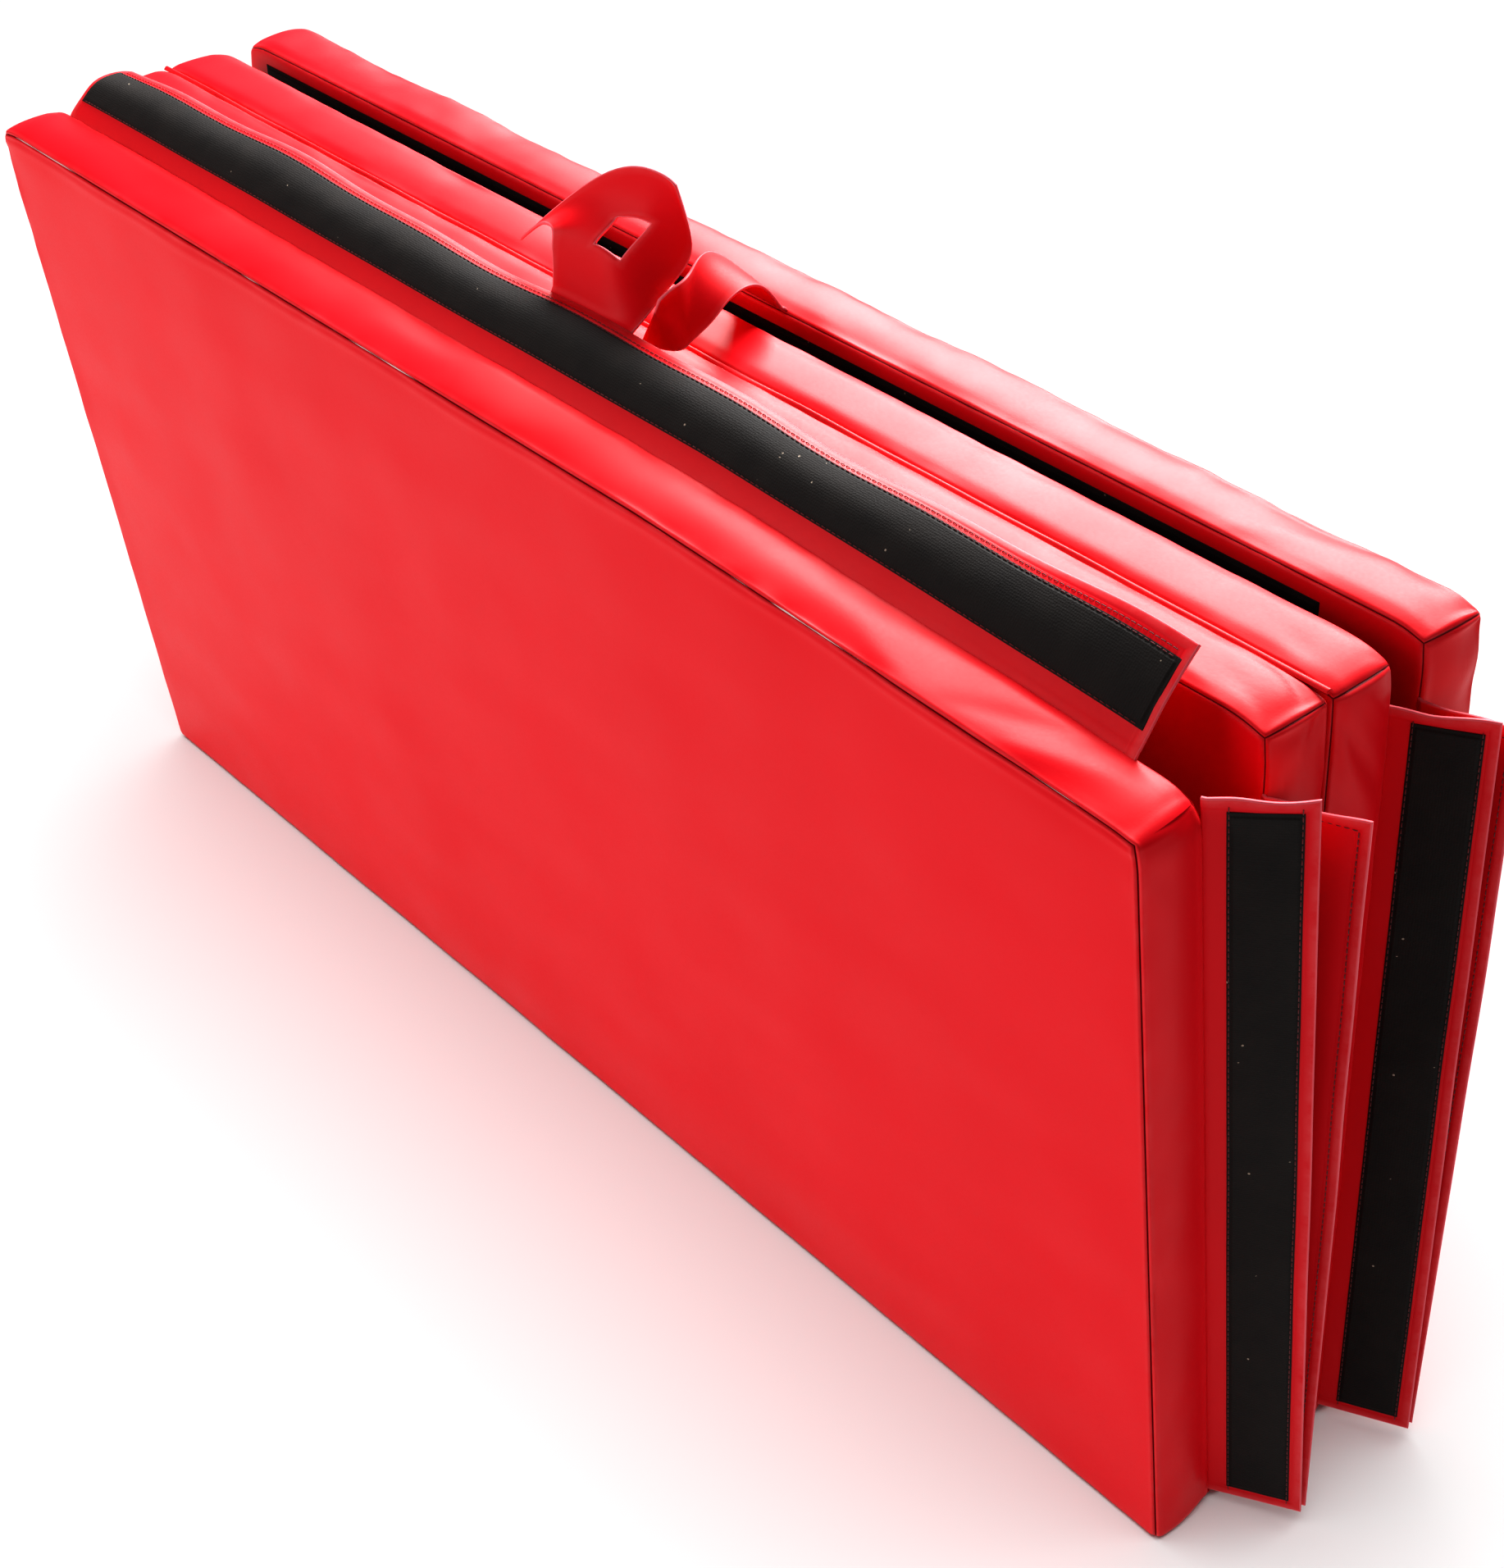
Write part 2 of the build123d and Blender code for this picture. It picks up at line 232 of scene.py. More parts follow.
def cover_side(number, normal, a, b):
    """One side of a panel cover: puffed by the foam, rippled, creased, and drawn in at its seams."""
    points, out = box_side(normal, a, b)
    depth = points[..., 1].copy()
    at = np.minimum(a, a[-1] - a)[:, None] + 0 * b
    bt = np.minimum(b, b[-1] - b)[None, :] + 0 * a[:, None]
    # panel 1's band runs round its top right corner without a seam
    if number == 1 and tuple(normal) == (0, 0, 1):
        at = a[:, None] + 0 * b
    if number == 1 and tuple(normal) == (1, 0, 0):
        bt = b[None, :] + 0 * a[:, None]
    seam = np.minimum(at, bt)
    side = {(0, 1, 0): "B", (0, -1, 0): "A"}.get(tuple(normal), "wall")
    touching = side in TOUCHING[number]
    seed = RIPPLE_SEEDS[number]

    # near a face that touches a neighbour nothing may stand proud
    tight_a = np.clip(depth / 0.012, 0.0, 1)
    tight_b = np.clip((PANEL_THICKNESS - depth) / 0.012, 0.0, 1) if "B" in TOUCHING[number] else 1.0
    free = np.clip(tight_a * tight_b, 0, 1)

    ridge = (0.75 * np.exp(-((seam - 0.0027) / 0.0012) ** 2) - 1.0 * np.exp(-(seam / 0.0007) ** 2)) / 1000
    pucker = waves(points, seed + 1, 9, 0.022, 0.055) * np.exp(-(seam / 0.007) ** 2) * 0.0004
    pucker *= np.clip(points[..., 2] / PANEL_HEIGHT * 2 - 1, 0.2, 1)
    swell = waves(points, seed + 2, 12, 0.09, 0.32)
    ripple = waves(points, seed + 3, 14, 0.030, 0.085)
    towards_ends = (points[..., 0] / (PANEL_LENGTH / 2)) ** 4
    if side == "wall":
        crown = 0.0032 * (1 - (2 * depth / PANEL_THICKNESS - 1) ** 2)
        top = np.clip((points[..., 2] / PANEL_HEIGHT - 0.7) / 0.3, 0, 1)
        slack = 0.0011 * swell + 0.00042 * ripple * (0.5 + 0.9 * towards_ends)
        height = crown + slack * np.clip(seam / 0.006, 0, 1)
        lines = np.stack([PANEL_LENGTH / 2 - points[..., 0], depth, PANEL_HEIGHT - points[..., 2]], -1)
        for start, end, width, amount in CREASES[number]:
            crease = along_crease(lines, np.array(start) / 1000, np.array(end) / 1000, width / 1000)
            height += crease * amount / 1000 * (0.3 + 0.7 * top)
        height = height * np.clip(free + 0.15, 0, 1) + (ridge + pucker) * (0.35 + 0.65 * free)
    elif touching:
        height = 0.00018 * swell * np.clip(seam / 0.02, 0, 1) + 0.35 * ridge
    else:
        u = 2 * a[:, None] / a[-1] - 1
        v = 2 * b[None, :] / b[-1] - 1
        crown = 0.0034 * (1 - u ** 6) * (1 - v ** 6)
        height = crown + 0.0006 * swell * np.clip(seam / 0.02, 0, 1) + 0.00012 * ripple + ridge + pucker
        if number == 1:   # the front seam wanders and has a second, softer ridge below it
            below = PANEL_HEIGHT - points[..., 2]
            height += 0.0007 * np.exp(-((below - 0.0085 - 0.0015 * swell) / 0.0028) ** 2)
    # seams wander a little where they are free
    high = np.clip(points[..., 2] / PANEL_HEIGHT * 3 - 2, 0.12, 1)
    wander = waves(points, seed + 4, 8, 0.12, 0.30) * 0.0010 * np.exp(-(seam / 0.02) ** 2) * high
    wander *= free if side != "A" else 0
    height = height + wander
    # walls stay clear of the floor, of the wall they meet across an open fold, and of a folded flap
    if side == "wall":
        room = np.full_like(height, 0.0060)
        if normal[2] < 0:
            room = np.clip(0.0004 + 0.85 * to_panel_frame(points, number)[..., 2], 0.0004, 0.0030)
        elif normal[2] > 0 and number in (2, 3):
            room = room * 0 + 0.0034
        elif normal[0] > 0 and number in (1, 4):
            room = np.clip(0.19 * depth - 0.0012, 0.0003, 0.0060)
        height = np.where(height > 0, room * np.tanh(height / room), height)
    points = points + out * height[..., None]
    return drop_corners(points, number), seam


low_name = {"A": "underside", "B": "top"}
CREST = grid_lines(PANEL_THICKNESS, 0.005)
LONG = grid_lines(PANEL_LENGTH, 0.0062)
TALL = grid_lines(PANEL_HEIGHT, 0.0066)
covers = {}

for number in PANELS:
    body = f"panel_{number}"
    mirrored = PANELS[number][1] < 0
    for side, normal in (("A", (0, -1, 0)), ("B", (0, 1, 0))):
        points, seam = cover_side(number, np.array(normal), LONG, TALL)
        rows, columns = points.shape[:2]
        flat = np.stack(np.meshgrid(LONG, TALL, indexing="ij"), -1).reshape(-1, 2)
        sheet = new_mesh(f"{low_name[side]}_cover_{number}", to_panel_frame(points, number).reshape(-1, 3),
                         grid_quads(rows, columns, turned=(side == "B") != mirrored),
                         flat + 0.37 * number, seam=seam.ravel())
        covers[sheet.name] = sheet

    # the wall band runs round the panel: top, right end, bottom, left end
    points, faces, flats, seams, start, run = [], [], [], [], 0, 0.0
    for normal, lines, turned in (((0, 0, 1), LONG, False), ((1, 0, 0), TALL, True),
                                  ((0, 0, -1), LONG, True), ((-1, 0, 0), TALL, False)):
        if normal[0]:
            part, seam = cover_side(number, np.array(normal), CREST, lines)
            part, seam = part.transpose(1, 0, 2), seam.T
        else:
            part, seam = cover_side(number, np.array(normal), lines, CREST)
        rows, columns = part.shape[:2]
        points.append(part.reshape(-1, 3))
        faces.append(grid_quads(rows, columns, start, turned=(not turned) == mirrored))
        flats.append(np.stack(np.meshgrid(run + lines, CREST, indexing="ij"), -1).reshape(-1, 2))
        seams.append(seam.ravel())
        start += rows * columns
        run += lines[-1]
    band = new_mesh(f"wall_band_{number}", to_panel_frame(np.concatenate(points), number),
                    np.concatenate(faces), np.concatenate(flats) + 0.91 * number,
                    seam=np.concatenate(seams))
    weld_corners(band)
    covers[band.name] = band

    face = (PANEL_HEIGHT, PANEL_LENGTH)
    for name, stands_for, flat in (("top_cover", "top_sheet", face),
                                   ("underside_cover", "underside_sheet", face),
                                   ("wall_band", "wall_strip", (PANEL_THICKNESS, run))):
        cover = covers[f"{name}_{number}"]
        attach(cover, body)
        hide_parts(f"{stands_for}_{number}")


def group(name, inputs, outputs):
    """An empty shader node group with named sockets, and its input and output nodes."""
    tree = bpy.data.node_groups.new(name, "ShaderNodeTree")
    for socket, kind, value in inputs:
        made = tree.interface.new_socket(name=socket, in_out="INPUT", socket_type="NodeSocket" + kind)
        made.default_value = value
    for socket, kind in outputs:
        tree.interface.new_socket(name=socket, in_out="OUTPUT", socket_type="NodeSocket" + kind)
    return tree, tree.nodes.new("NodeGroupInput"), tree.nodes.new("NodeGroupOutput")


def node(tree, kind, inputs=None, **settings):
    """A node with settings, its inputs set to values or linked from sockets."""
    made = tree.nodes.new("ShaderNode" + kind)
    for key, value in settings.items():
        setattr(made, key, value)
    for key, value in (inputs or {}).items():
        if isinstance(value, bpy.types.NodeSocket):
            tree.links.new(value, made.inputs[key])
        else:
            made.inputs[key].default_value = value
    return made


def math(tree, operation, *values, clamp=False):
    """A math node's output."""
    made = node(tree, "Math", dict(enumerate(values)), operation=operation, use_clamp=clamp)
    return made.outputs[0]


# vinyl grain: fine embossed pebbles, soft handling dents, and a rough map
grain, into, out = group("vinyl_grain",
                         [("Pebble size", "Float", 0.0011), ("Emboss", "Float", 0.00003),
                          ("Dents", "Float", 0.00018), ("Roughness", "Float", 0.4)],
                         [("Normal", "Vector"), ("Roughness", "Float")])
place = node(grain, "UVMap").outputs[0]
per_metre = math(grain, "DIVIDE", 1.0, into.outputs["Pebble size"])
pebbles = node(grain, "TexVoronoi", {"Vector": place, "Scale": per_metre}, feature="SMOOTH_F1")
dents = node(grain, "TexNoise", {"Vector": place, "Scale": 17.0, "Detail": 3.0, "Roughness": 0.55})
weave = node(grain, "TexNoise", {"Vector": place, "Scale": 420.0, "Detail": 1.0})
fine = node(grain, "Bump", {"Height": pebbles.outputs["Distance"], "Distance": into.outputs["Emboss"],
                            "Strength": 0.6})
soft = node(grain, "Bump", {"Height": dents.outputs[0], "Distance": into.outputs["Dents"], "Strength": 0.7,
                            "Normal": fine.outputs[0]})
rough = math(grain, "SUBTRACT", dents.outputs[0], 0.5)
rough = math(grain, "MULTIPLY_ADD", rough, 0.14, into.outputs["Roughness"])
rough = math(grain, "MULTIPLY_ADD", math(grain, "SUBTRACT", weave.outputs[0], 0.5), 0.10, rough, clamp=True)
grain.links.new(soft.outputs[0], out.inputs["Normal"])
grain.links.new(rough, out.inputs["Roughness"])

# wear and painted edges: blotchy tone and pale rubbed edges, which are wear, and a line painted along every
# edge in the colour given: painted shade where a seam sinks in on covers and webs, a painted highlight on
# the rims of flaps and straps
wear_and_edge_paint, into, out = group("vinyl_wear",
                        [("Colour", "Color", (0.7, 0.01, 0.02, 1)),
                         ("Rubbed", "Color", (0.85, 0.12, 0.13, 1)),
                         ("Shaded", "Color", (0.03, 0.0, 0.0, 1)), ("Edge distance", "Float", 1.0),
                         ("Seam width", "Float", 0.0006), ("Rub width", "Float", 0.006),
                         ("Rub", "Float", 0.3)],
                        [("Colour", "Color")])
place = node(wear_and_edge_paint, "UVMap").outputs[0]
blotch = node(wear_and_edge_paint, "TexNoise", {"Vector": place, "Scale": 3.2, "Detail": 4.0, "Roughness": 0.6})
scuff = node(wear_and_edge_paint, "TexNoise", {"Vector": place, "Scale": 60.0, "Detail": 5.0, "Roughness": 0.65})
blotchy = math(wear_and_edge_paint, "MULTIPLY", math(wear_and_edge_paint, "SUBTRACT", blotch.outputs[0], 0.38), 1.2, clamp=True)
tone = node(wear_and_edge_paint, "Mix", {"Factor": blotchy, "A": into.outputs["Colour"], "B": (0.84, 0.005, 0.015, 1)},
            data_type="RGBA")
edge = into.outputs["Edge distance"]
rub = math(wear_and_edge_paint, "SUBTRACT", 1.0, math(wear_and_edge_paint, "DIVIDE", edge, into.outputs["Rub width"]), clamp=True)
scuffed = math(wear_and_edge_paint, "MULTIPLY_ADD", math(wear_and_edge_paint, "SUBTRACT", scuff.outputs[0], 0.42), 3.0, 0.5, clamp=True)
rub = math(wear_and_edge_paint, "MULTIPLY", math(wear_and_edge_paint, "MULTIPLY", rub, into.outputs["Rub"]), scuffed, clamp=True)
rubbed = node(wear_and_edge_paint, "Mix", {"Factor": rub, "A": tone.outputs["Result"], "B": into.outputs["Rubbed"]},
              data_type="RGBA")
# painted line along the edges: painted shade in sunken seams, painted highlight on rims, by the colour given
edge_paint_mask = math(wear_and_edge_paint, "SUBTRACT", 1.0, math(wear_and_edge_paint, "DIVIDE", edge, into.outputs["Seam width"]), clamp=True)
edge_painted = node(wear_and_edge_paint, "Mix", {"Factor": math(wear_and_edge_paint, "POWER", edge_paint_mask, 0.5), "A": rubbed.outputs["Result"],
                            "B": into.outputs["Shaded"]}, data_type="RGBA")
wear_and_edge_paint.links.new(edge_painted.outputs["Result"], out.inputs["Colour"])


def vinyl(name, colour, roughness, emboss, seam_width, painted_edge_colour, rub):
    """PVC-coated cloth: satin, finely embossed, worn at its edges, with a painted line along them in the
    colour given: painted shade for seams, painted highlight for rims.
    """
    material = bpy.data.materials.new(name)
    material.use_nodes = True
    tree = material.node_tree
    shader = tree.nodes["Principled BSDF"]
    distance = node(tree, "Attribute", attribute_name="seam").outputs["Fac"]
    grained = node(tree, "Group", node_tree=grain)
    grained.inputs["Emboss"].default_value = emboss
    grained.inputs["Roughness"].default_value = roughness
    edge_and_wear_node = node(tree, "Group", node_tree=wear_and_edge_paint)
    edge_and_wear_node.inputs["Colour"].default_value = (*colour, 1)
    edge_and_wear_node.inputs["Seam width"].default_value = seam_width
    # colour of the painted line along the edges: painted shade or painted highlight
    edge_and_wear_node.inputs["Shaded"].default_value = (*painted_edge_colour, 1)
    edge_and_wear_node.inputs["Rub"].default_value = rub
    tree.links.new(distance, edge_and_wear_node.inputs["Edge distance"])
    tree.links.new(edge_and_wear_node.outputs["Colour"], shader.inputs["Base Color"])
    tree.links.new(grained.outputs["Roughness"], shader.inputs["Roughness"])
    tree.links.new(grained.outputs["Normal"], shader.inputs["Normal"])
    shader.inputs["Specular IOR Level"].default_value = 0.10
    shader.inputs["Specular Tint"].default_value = (1.0, 0.7, 0.72, 1)
    return material


# dark painted shade along the covers' sunken seams
cover_vinyl = vinyl("cover_vinyl", (0.76, 0.004, 0.011), roughness=0.40, emboss=0.00003,
                    seam_width=0.0010, painted_edge_colour=(0.08, 0.0, 0.003), rub=0.25)
for obj in covers.values():
    obj.data.materials.append(cover_vinyl)

# ---- foam blocks ----
# One block of closed-cell polyethylene foam in every panel, cut square and slid into the cover.
# Skived sheets laminated together, so the sides show faint layers and open cells.

FOAM_INSET = 0.0013
foam = bpy.data.materials.new("core_foam")
foam.use_nodes = True
tree = foam.node_tree
shader = tree.nodes["Principled BSDF"]
place = node(tree, "UVMap").outputs[0]
cells = node(tree, "TexVoronoi", {"Vector": place, "Scale": 900.0})
layers = node(tree, "TexNoise", {"Vector": place, "Scale": 24.0, "Detail": 3.0})
tint = node(tree, "Mix", {"Factor": layers.outputs[0], "A": (0.80, 0.80, 0.77, 1),
                          "B": (0.86, 0.86, 0.84, 1)}, data_type="RGBA")
bump = node(tree, "Bump", {"Height": cells.outputs["Distance"], "Distance": 0.0002, "Strength": 0.5})
tree.links.new(tint.outputs["Result"], shader.inputs["Base Color"])
tree.links.new(bump.outputs[0], shader.inputs["Normal"])
shader.inputs["Roughness"].default_value = 0.85

for number in PANELS:
    mirrored = PANELS[number][1] < 0
    inner = [np.linspace(0, size - 2 * FOAM_INSET, count) for size, count in
             ((PANEL_LENGTH, 62), (PANEL_THICKNESS, 9), (PANEL_HEIGHT, 32))]
    points, faces, flats, start = [], [], [], 0
    for axis in range(3):
        for sign in (1, -1):
            normal = np.zeros(3)
            normal[axis] = sign
            a, b = [inner[k] for k in range(3) if k != axis]
            part, _ = box_side(normal, a, b, FOAM_INSET)
            points.append(drop_corners(part, number).reshape(-1, 3))
            turned = ((sign > 0) == (axis == 1)) != mirrored
            faces.append(grid_quads(len(a), len(b), start, turned))
            flats.append(np.stack(np.meshgrid(a, b, indexing="ij"), -1).reshape(-1, 2))
            start += len(a) * len(b)
    block = new_mesh(f"foam_block_{number}", to_panel_frame(np.concatenate(points), number),
                     np.concatenate(faces), np.concatenate(flats))
    weld_corners(block)
    block.data.materials.append(foam)
    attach(block, f"panel_{number}")
    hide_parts(f"foam_core_{number}")

# ---- fold webs ----
# Three bare strips of cover vinyl that join the panels, stitched into the seams on both sides.
# Folded, each one is doubled over into a loop between two panel edges.

CORNER_CUT = EDGE_RADIUS * (1 - 0.7071)
WEB_THICKNESS = 0.0009


def thin_sheet(name, middle, normals, thickness, flat, **values):
    """A closed thin sheet: two faces and a rim, from its middle surface, normals and thickness."""
    rows, columns = middle.shape[:2]
    half = normals * (np.asarray(thickness) / 2)[..., None]
    points = np.concatenate([(middle + half).reshape(-1, 3), (middle - half).reshape(-1, 3)])
    count = rows * columns
    ids = np.arange(count).reshape(rows, columns)
    ring = np.concatenate([ids[:-1, 0], ids[-1, :-1], ids[:0:-1, -1], ids[0, :0:-1]])
    after = np.roll(ring, -1)
    rim = np.stack([ring, after, after + count, ring + count], -1)
    faces = np.concatenate([grid_quads(rows, columns), grid_quads(rows, columns, count, turned=True),
                            rim[:, ::-1]])
    doubled = {key: np.concatenate([value.ravel()] * 2) for key, value in values.items()}
    flats = np.concatenate([flat.reshape(-1, 2)] * 2)
    return new_mesh(name, points, faces, flats, **doubled)


def normals_of(surface):
    """Unit normals of a grid of points."""
    n = np.cross(np.gradient(surface, axis=0), np.gradient(surface, axis=1))
    return n / np.linalg.norm(n, axis=-1, keepdims=True)


def normal_side(function):
    """1.0 where the normals of grids on a flat surface point to the back, +Y, else -1.0."""
    places = np.array([0, 0.1])
    return 1.0 if normals_of(grid(function, places, places))[0, 0, 1] > 0 else -1.0


WEB_FLAT = 0.011             # a web's width, laid flat
WEB_SHORTER = 0.003          # how far a web stops short of each end of its panels


# dark painted shade along the webs' sewn edges
web_vinyl = vinyl("web_vinyl", (0.70, 0.004, 0.010), roughness=0.42, emboss=0.00003,
                  seam_width=0.0003, painted_edge_colour=(0.07, 0.0, 0.003), rub=0.2)
for fold, first, second, level in (("fold_12", 1, 2, 0.0), ("fold_23", 2, 3, PANEL_HEIGHT),
                                   ("fold_34", 3, 4, 0.0)):
    depth = PANEL_THICKNESS - CORNER_CUT if fold == "fold_23" else CORNER_CUT
    height = level + (CORNER_CUT if level == 0.0 else -CORNER_CUT)
    length = (LONG - PANEL_LENGTH / 2) * (1 - WEB_SHORTER / (PANEL_LENGTH / 2))
    ends = [to_panel_frame(np.array([0.0, depth, height]), number) for number in (first, second)]
    axis_point = np.array(joints[fold]["pos_m"])
    share = np.linspace(0, 1, 11)
    bow = np.sin(pi * share)
    lowest = 0.35 * (axis_point[2] - (ends[0][2] + ends[1][2]) / 2)
    path = np.stack([ends[0][1] + (ends[1][1] - ends[0][1]) * share,
                     ends[0][2] + (ends[1][2] - ends[0][2]) * share + lowest * bow ** 0.8], -1)
    middle = np.zeros((len(length), len(share), 3))
    middle[..., 0] = PANEL_MIDDLE_X + length[:, None]
    middle[..., 1:] = path
    middle[..., 2] += waves(middle, 51, 8, 0.06, 0.2) * 0.0004 * bow
    flat = np.stack(np.meshgrid(length, share * WEB_FLAT, indexing="ij"), -1)
    edge = np.broadcast_to(np.minimum(share, 1 - share) * WEB_FLAT, middle.shape[:2])
    thickness = WEB_THICKNESS * np.ones(middle.shape[:2])
    web = thin_sheet(fold + "_web", middle, normals_of(middle), thickness, flat, seam=edge)
    web.data.materials.append(web_vinyl)
    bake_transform(web)
    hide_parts(f"{fold}_leaf_{first}", f"{fold}_leaf_{second}")

# ---- side flaps with their hook tape, and the loop strips they fasten to ----
# Doubled vinyl, hemmed all round and sewn into the seam at each panel's right-hand end; a row of
# hook tape is stitched on one face. The loop strips are sewn on the left-hand ends' A sides.

FLAP_THICKNESS = 0.0012
HEM = 0.008
HEM_STEPS = np.array([0, 0.4, 0.9, 1.6, 2.6, 4.0, 5.4, 6.2, 6.7, 7.4, 8.2, 9.2]) / 1000
SIDE_FLAP_WIDTH = 0.058
FLAP_ROOT = 0.003            # how much of the flap is caught in the panel's seam
# degrees that each flap swings back, at its bottom and at its top
FLAP_SWINGS = {1: (27.5, 37.0), 2: (32.5, 23.0), 3: (27.5, 27.0), 4: (32.5, 17.0)}
# extra degrees gained across the flap at its top
FLAP_CURL = {1: 6.0, 2: -9.0, 3: 4.0, 4: -4.0}

# pale painted highlight along the flaps' rims
flap_vinyl = vinyl("flap_vinyl", (0.70, 0.006, 0.013), roughness=0.42, emboss=0.00003,
                   seam_width=0.0010, painted_edge_colour=(0.86, 0.13, 0.16), rub=0.5)


def spline(at, values, t):
    """A natural cubic spline through values, at the places t."""
    at, values = np.asarray(at, float), np.asarray(values, float)
    n, h = len(at), np.diff(np.asarray(at, float))
    matrix, right = np.eye(n), np.zeros(values.shape)
    for i in range(1, n - 1):
        matrix[i, i - 1:i + 2] = h[i - 1], 2 * (h[i - 1] + h[i]), h[i]
        right[i] = 6 * ((values[i + 1] - values[i]) / h[i] - (values[i] - values[i - 1]) / h[i - 1])
    curve = np.linalg.solve(matrix, right.reshape(n, -1)).reshape(values.shape)
    i = np.clip(np.searchsorted(at, t) - 1, 0, n - 2)
    shape = (len(t),) + (1,) * (values.ndim - 1)
    left, span = (np.asarray(t) - at[i]).reshape(shape), h[i].reshape(shape)
    rest = span - left
    bent = (curve[i] * rest ** 3 + curve[i + 1] * left ** 3) / (6 * span)
    before = (values[i] / span - curve[i] * span / 6) * rest
    after = (values[i + 1] / span - curve[i + 1] * span / 6) * left
    return bent + before + after


def hem_lines(start, end, step):
    """Places from start to end, with extra ones where a hem is folded and stitched."""
    count = max(2, round((end - start - 2 * HEM_STEPS[-1]) / step) + 1)
    inside = np.linspace(start + HEM_STEPS[-1], end - HEM_STEPS[-1], count)
    return np.concatenate([start + HEM_STEPS[:-1], inside, (end - HEM_STEPS)[::-1][1:]])


def hem_profile(distance):
    """Sheet thickness by distance from its outer edge: a rolled hem, thinner past its stitching."""
    roll = 0.0011 * np.clip(1 - distance / HEM, 0, 1) ** 0.35
    stitch = -0.0005 * np.exp(-((distance - 0.0064) / 0.0007) ** 2)
    edge = -0.0006 * np.exp(-(distance / 0.0007) ** 2)
    return FLAP_THICKNESS + roll + stitch + edge


def side_flap_point(number, s, z):
    """A point on the middle of a side flap: s across it from its bend line, z up the panel."""
    _, side, _ = PANELS[number]
    share = np.clip(z / PANEL_HEIGHT, 0, 1)
    low_swing, high_swing = FLAP_SWINGS[number]
    wave = 1.6 * np.sin(2 * pi * z / 0.33 + number * 1.7) + 0.9 * np.sin(2 * pi * z / 0.145 + number)
    wave = wave * np.clip(share * 2, 0.25, 1)
    swing = np.radians(low_swing + (high_swing - low_swing) * share ** 1.2 + wave)
    curl = np.radians(FLAP_CURL[number]) * share ** 2 / SIDE_FLAP_WIDTH
    reach = np.clip(s, 0, None)
    middle_angle = swing + curl * reach / 2
    root = np.clip(-s / FLAP_ROOT, 0, 1)
    x = PANEL_LENGTH / 2 + 0.001 + reach * np.cos(middle_angle) - root * FLAP_ROOT
    away = side * (FACE_GAP + FLAP_THICKNESS / 2) + root * side * 0.0014
    across = away + reach * np.sin(middle_angle)
    return to_panel_frame(np.stack([x, side * across - FACE_GAP, z], -1), number)


def grid(function, a, b):
    """Points of a surface function over two sets of places."""
    a2, b2 = np.meshgrid(a, b, indexing="ij")
    return function(a2, b2)


hooks, into, out = group("tape_pile",
                         [("Colour", "Color", (0.012, 0.011, 0.011, 1)), ("Lint", "Float", 0.5),
                          ("Pitch", "Float", 0.0016)],
                         [("Colour", "Color"), ("Normal", "Vector"), ("Roughness", "Float")])
place = node(hooks, "UVMap").outputs[0]
per_metre = math(hooks, "DIVIDE", 1.0, into.outputs["Pitch"])
rows_of_hooks = node(hooks, "TexVoronoi", {"Vector": place, "Scale": per_metre, "Randomness": 0.35})
fuzz = node(hooks, "TexNoise", {"Vector": place, "Scale": 900.0, "Detail": 2.0})
patches = node(hooks, "TexNoise", {"Vector": place, "Scale": 38.0, "Detail": 3.0})
specks = node(hooks, "TexVoronoi", {"Vector": place, "Scale": 110.0})
lint = math(hooks, "LESS_THAN", specks.outputs["Distance"], 0.085)
lint = math(hooks, "MULTIPLY", lint, math(hooks, "GREATER_THAN", patches.outputs[0], 0.58))
lint = math(hooks, "MULTIPLY", lint, into.outputs["Lint"])
pile = node(hooks, "Mix", {"Factor": patches.outputs[0], "A": into.outputs["Colour"],
                           "B": (0.026, 0.022, 0.020, 1)}, data_type="RGBA")
dusty = node(hooks, "Mix", {"Factor": lint, "A": pile.outputs["Result"], "B": (0.45, 0.36, 0.28, 1)},
             data_type="RGBA")
height = math(hooks, "MULTIPLY_ADD", fuzz.outputs[0], 0.4, rows_of_hooks.outputs["Distance"])
bump = node(hooks, "Bump", {"Height": height, "Distance": 0.00035, "Strength": 0.7})
hooks.links.new(dusty.outputs["Result"], out.inputs["Colour"])
hooks.links.new(bump.outputs[0], out.inputs["Normal"])
hooks.links.new(math(hooks, "MULTIPLY_ADD", patches.outputs[0], 0.2, 0.62), out.inputs["Roughness"])


def tape(name, colour, lint, pitch):
    """Black nylon fastener tape: dull, with a pile of hooks or loops and specks of lint."""
    material = bpy.data.materials.new(name)
    material.use_nodes = True
    tree = material.node_tree
    shader = tree.nodes["Principled BSDF"]
    pile = node(tree, "Group", node_tree=hooks)
    pile.inputs["Colour"].default_value = (*colour, 1)
    pile.inputs["Lint"].default_value = lint
    pile.inputs["Pitch"].default_value = pitch
    for key, socket in (("Colour", "Base Color"), ("Normal", "Normal"), ("Roughness", "Roughness")):
        tree.links.new(pile.outputs[key], shader.inputs[socket])
    shader.inputs["Specular IOR Level"].default_value = 0.08
    return material


hook_tape = tape("hook_tape", (0.010, 0.009, 0.009), 0.8, 0.0016)
loop_tape = tape("loop_tape", (0.006, 0.006, 0.007), 0.4, 0.0009)
thread = bpy.data.materials.new("thread")
thread.use_nodes = True
tree = thread.node_tree
shader = tree.nodes["Principled BSDF"]
twist = node(tree, "TexWave", {"Vector": node(tree, "TexCoord").outputs["Object"], "Scale": 900.0})
